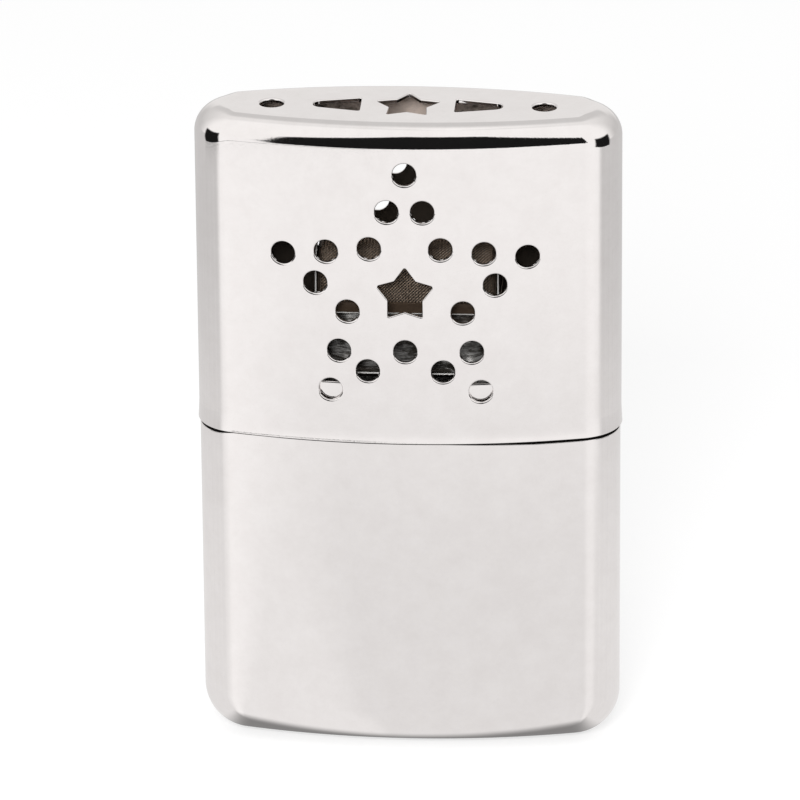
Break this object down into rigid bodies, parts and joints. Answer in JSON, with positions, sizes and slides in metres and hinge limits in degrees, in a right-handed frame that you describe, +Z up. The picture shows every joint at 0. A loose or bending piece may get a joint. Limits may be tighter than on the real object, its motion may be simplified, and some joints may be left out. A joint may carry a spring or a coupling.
{
  "type": "catalytic hand warmer",
  "caption": "Pocket hand warmer: lens-shaped polished tank, slip-on cap pierced by a star of round vents, and a lift-off gauze burner seated on an oval filler neck.",
  "frame": {"origin": "middle of the flat foot that the warmer stands on", "axes": "+Z up through the cap; the front faces -Y; +X runs along the width, to the right as seen from the front"},
  "size_m": [0.0662, 0.0222, 0.105],
  "materials": {
    "case_steel": "polished, with a faint haze",
    "burner_steel": "bright",
    "dull_steel": "dull, heat-tinted",
    "gauze": "fine woven wire",
    "cotton": "loose wadding",
    "felt": "pressed felt",
    "glass_wool": "glass fibre mat with a grey metal coating"
  },
  "bodies": {
    "tank": {"tank_shell": "case_steel", "tank_top": "case_steel", "filler_neck": "case_steel", "cotton_wadding": "cotton", "wick_pad": "felt"},
    "burner": {"burner_socket": "burner_steel", "gauze_frame": "dull_steel", "support_grid": "dull_steel", "catalyst_mat": "glass_wool", "gauze_hood": "gauze", "end_cap_left": "burner_steel", "end_cap_right": "burner_steel"},
    "cap": {"cap": "case_steel"}
  },
  "joints": [
    {"name": "cap_lift", "type": "slide", "parent": "tank", "child": "cap", "axis": [0, 0, 1], "range_m": [0, 0.055]},
    {"name": "burner_lift", "type": "slide", "parent": "tank", "child": "burner", "axis": [0, 0, 1], "range_m": [0, 0.012]}
  ]
}
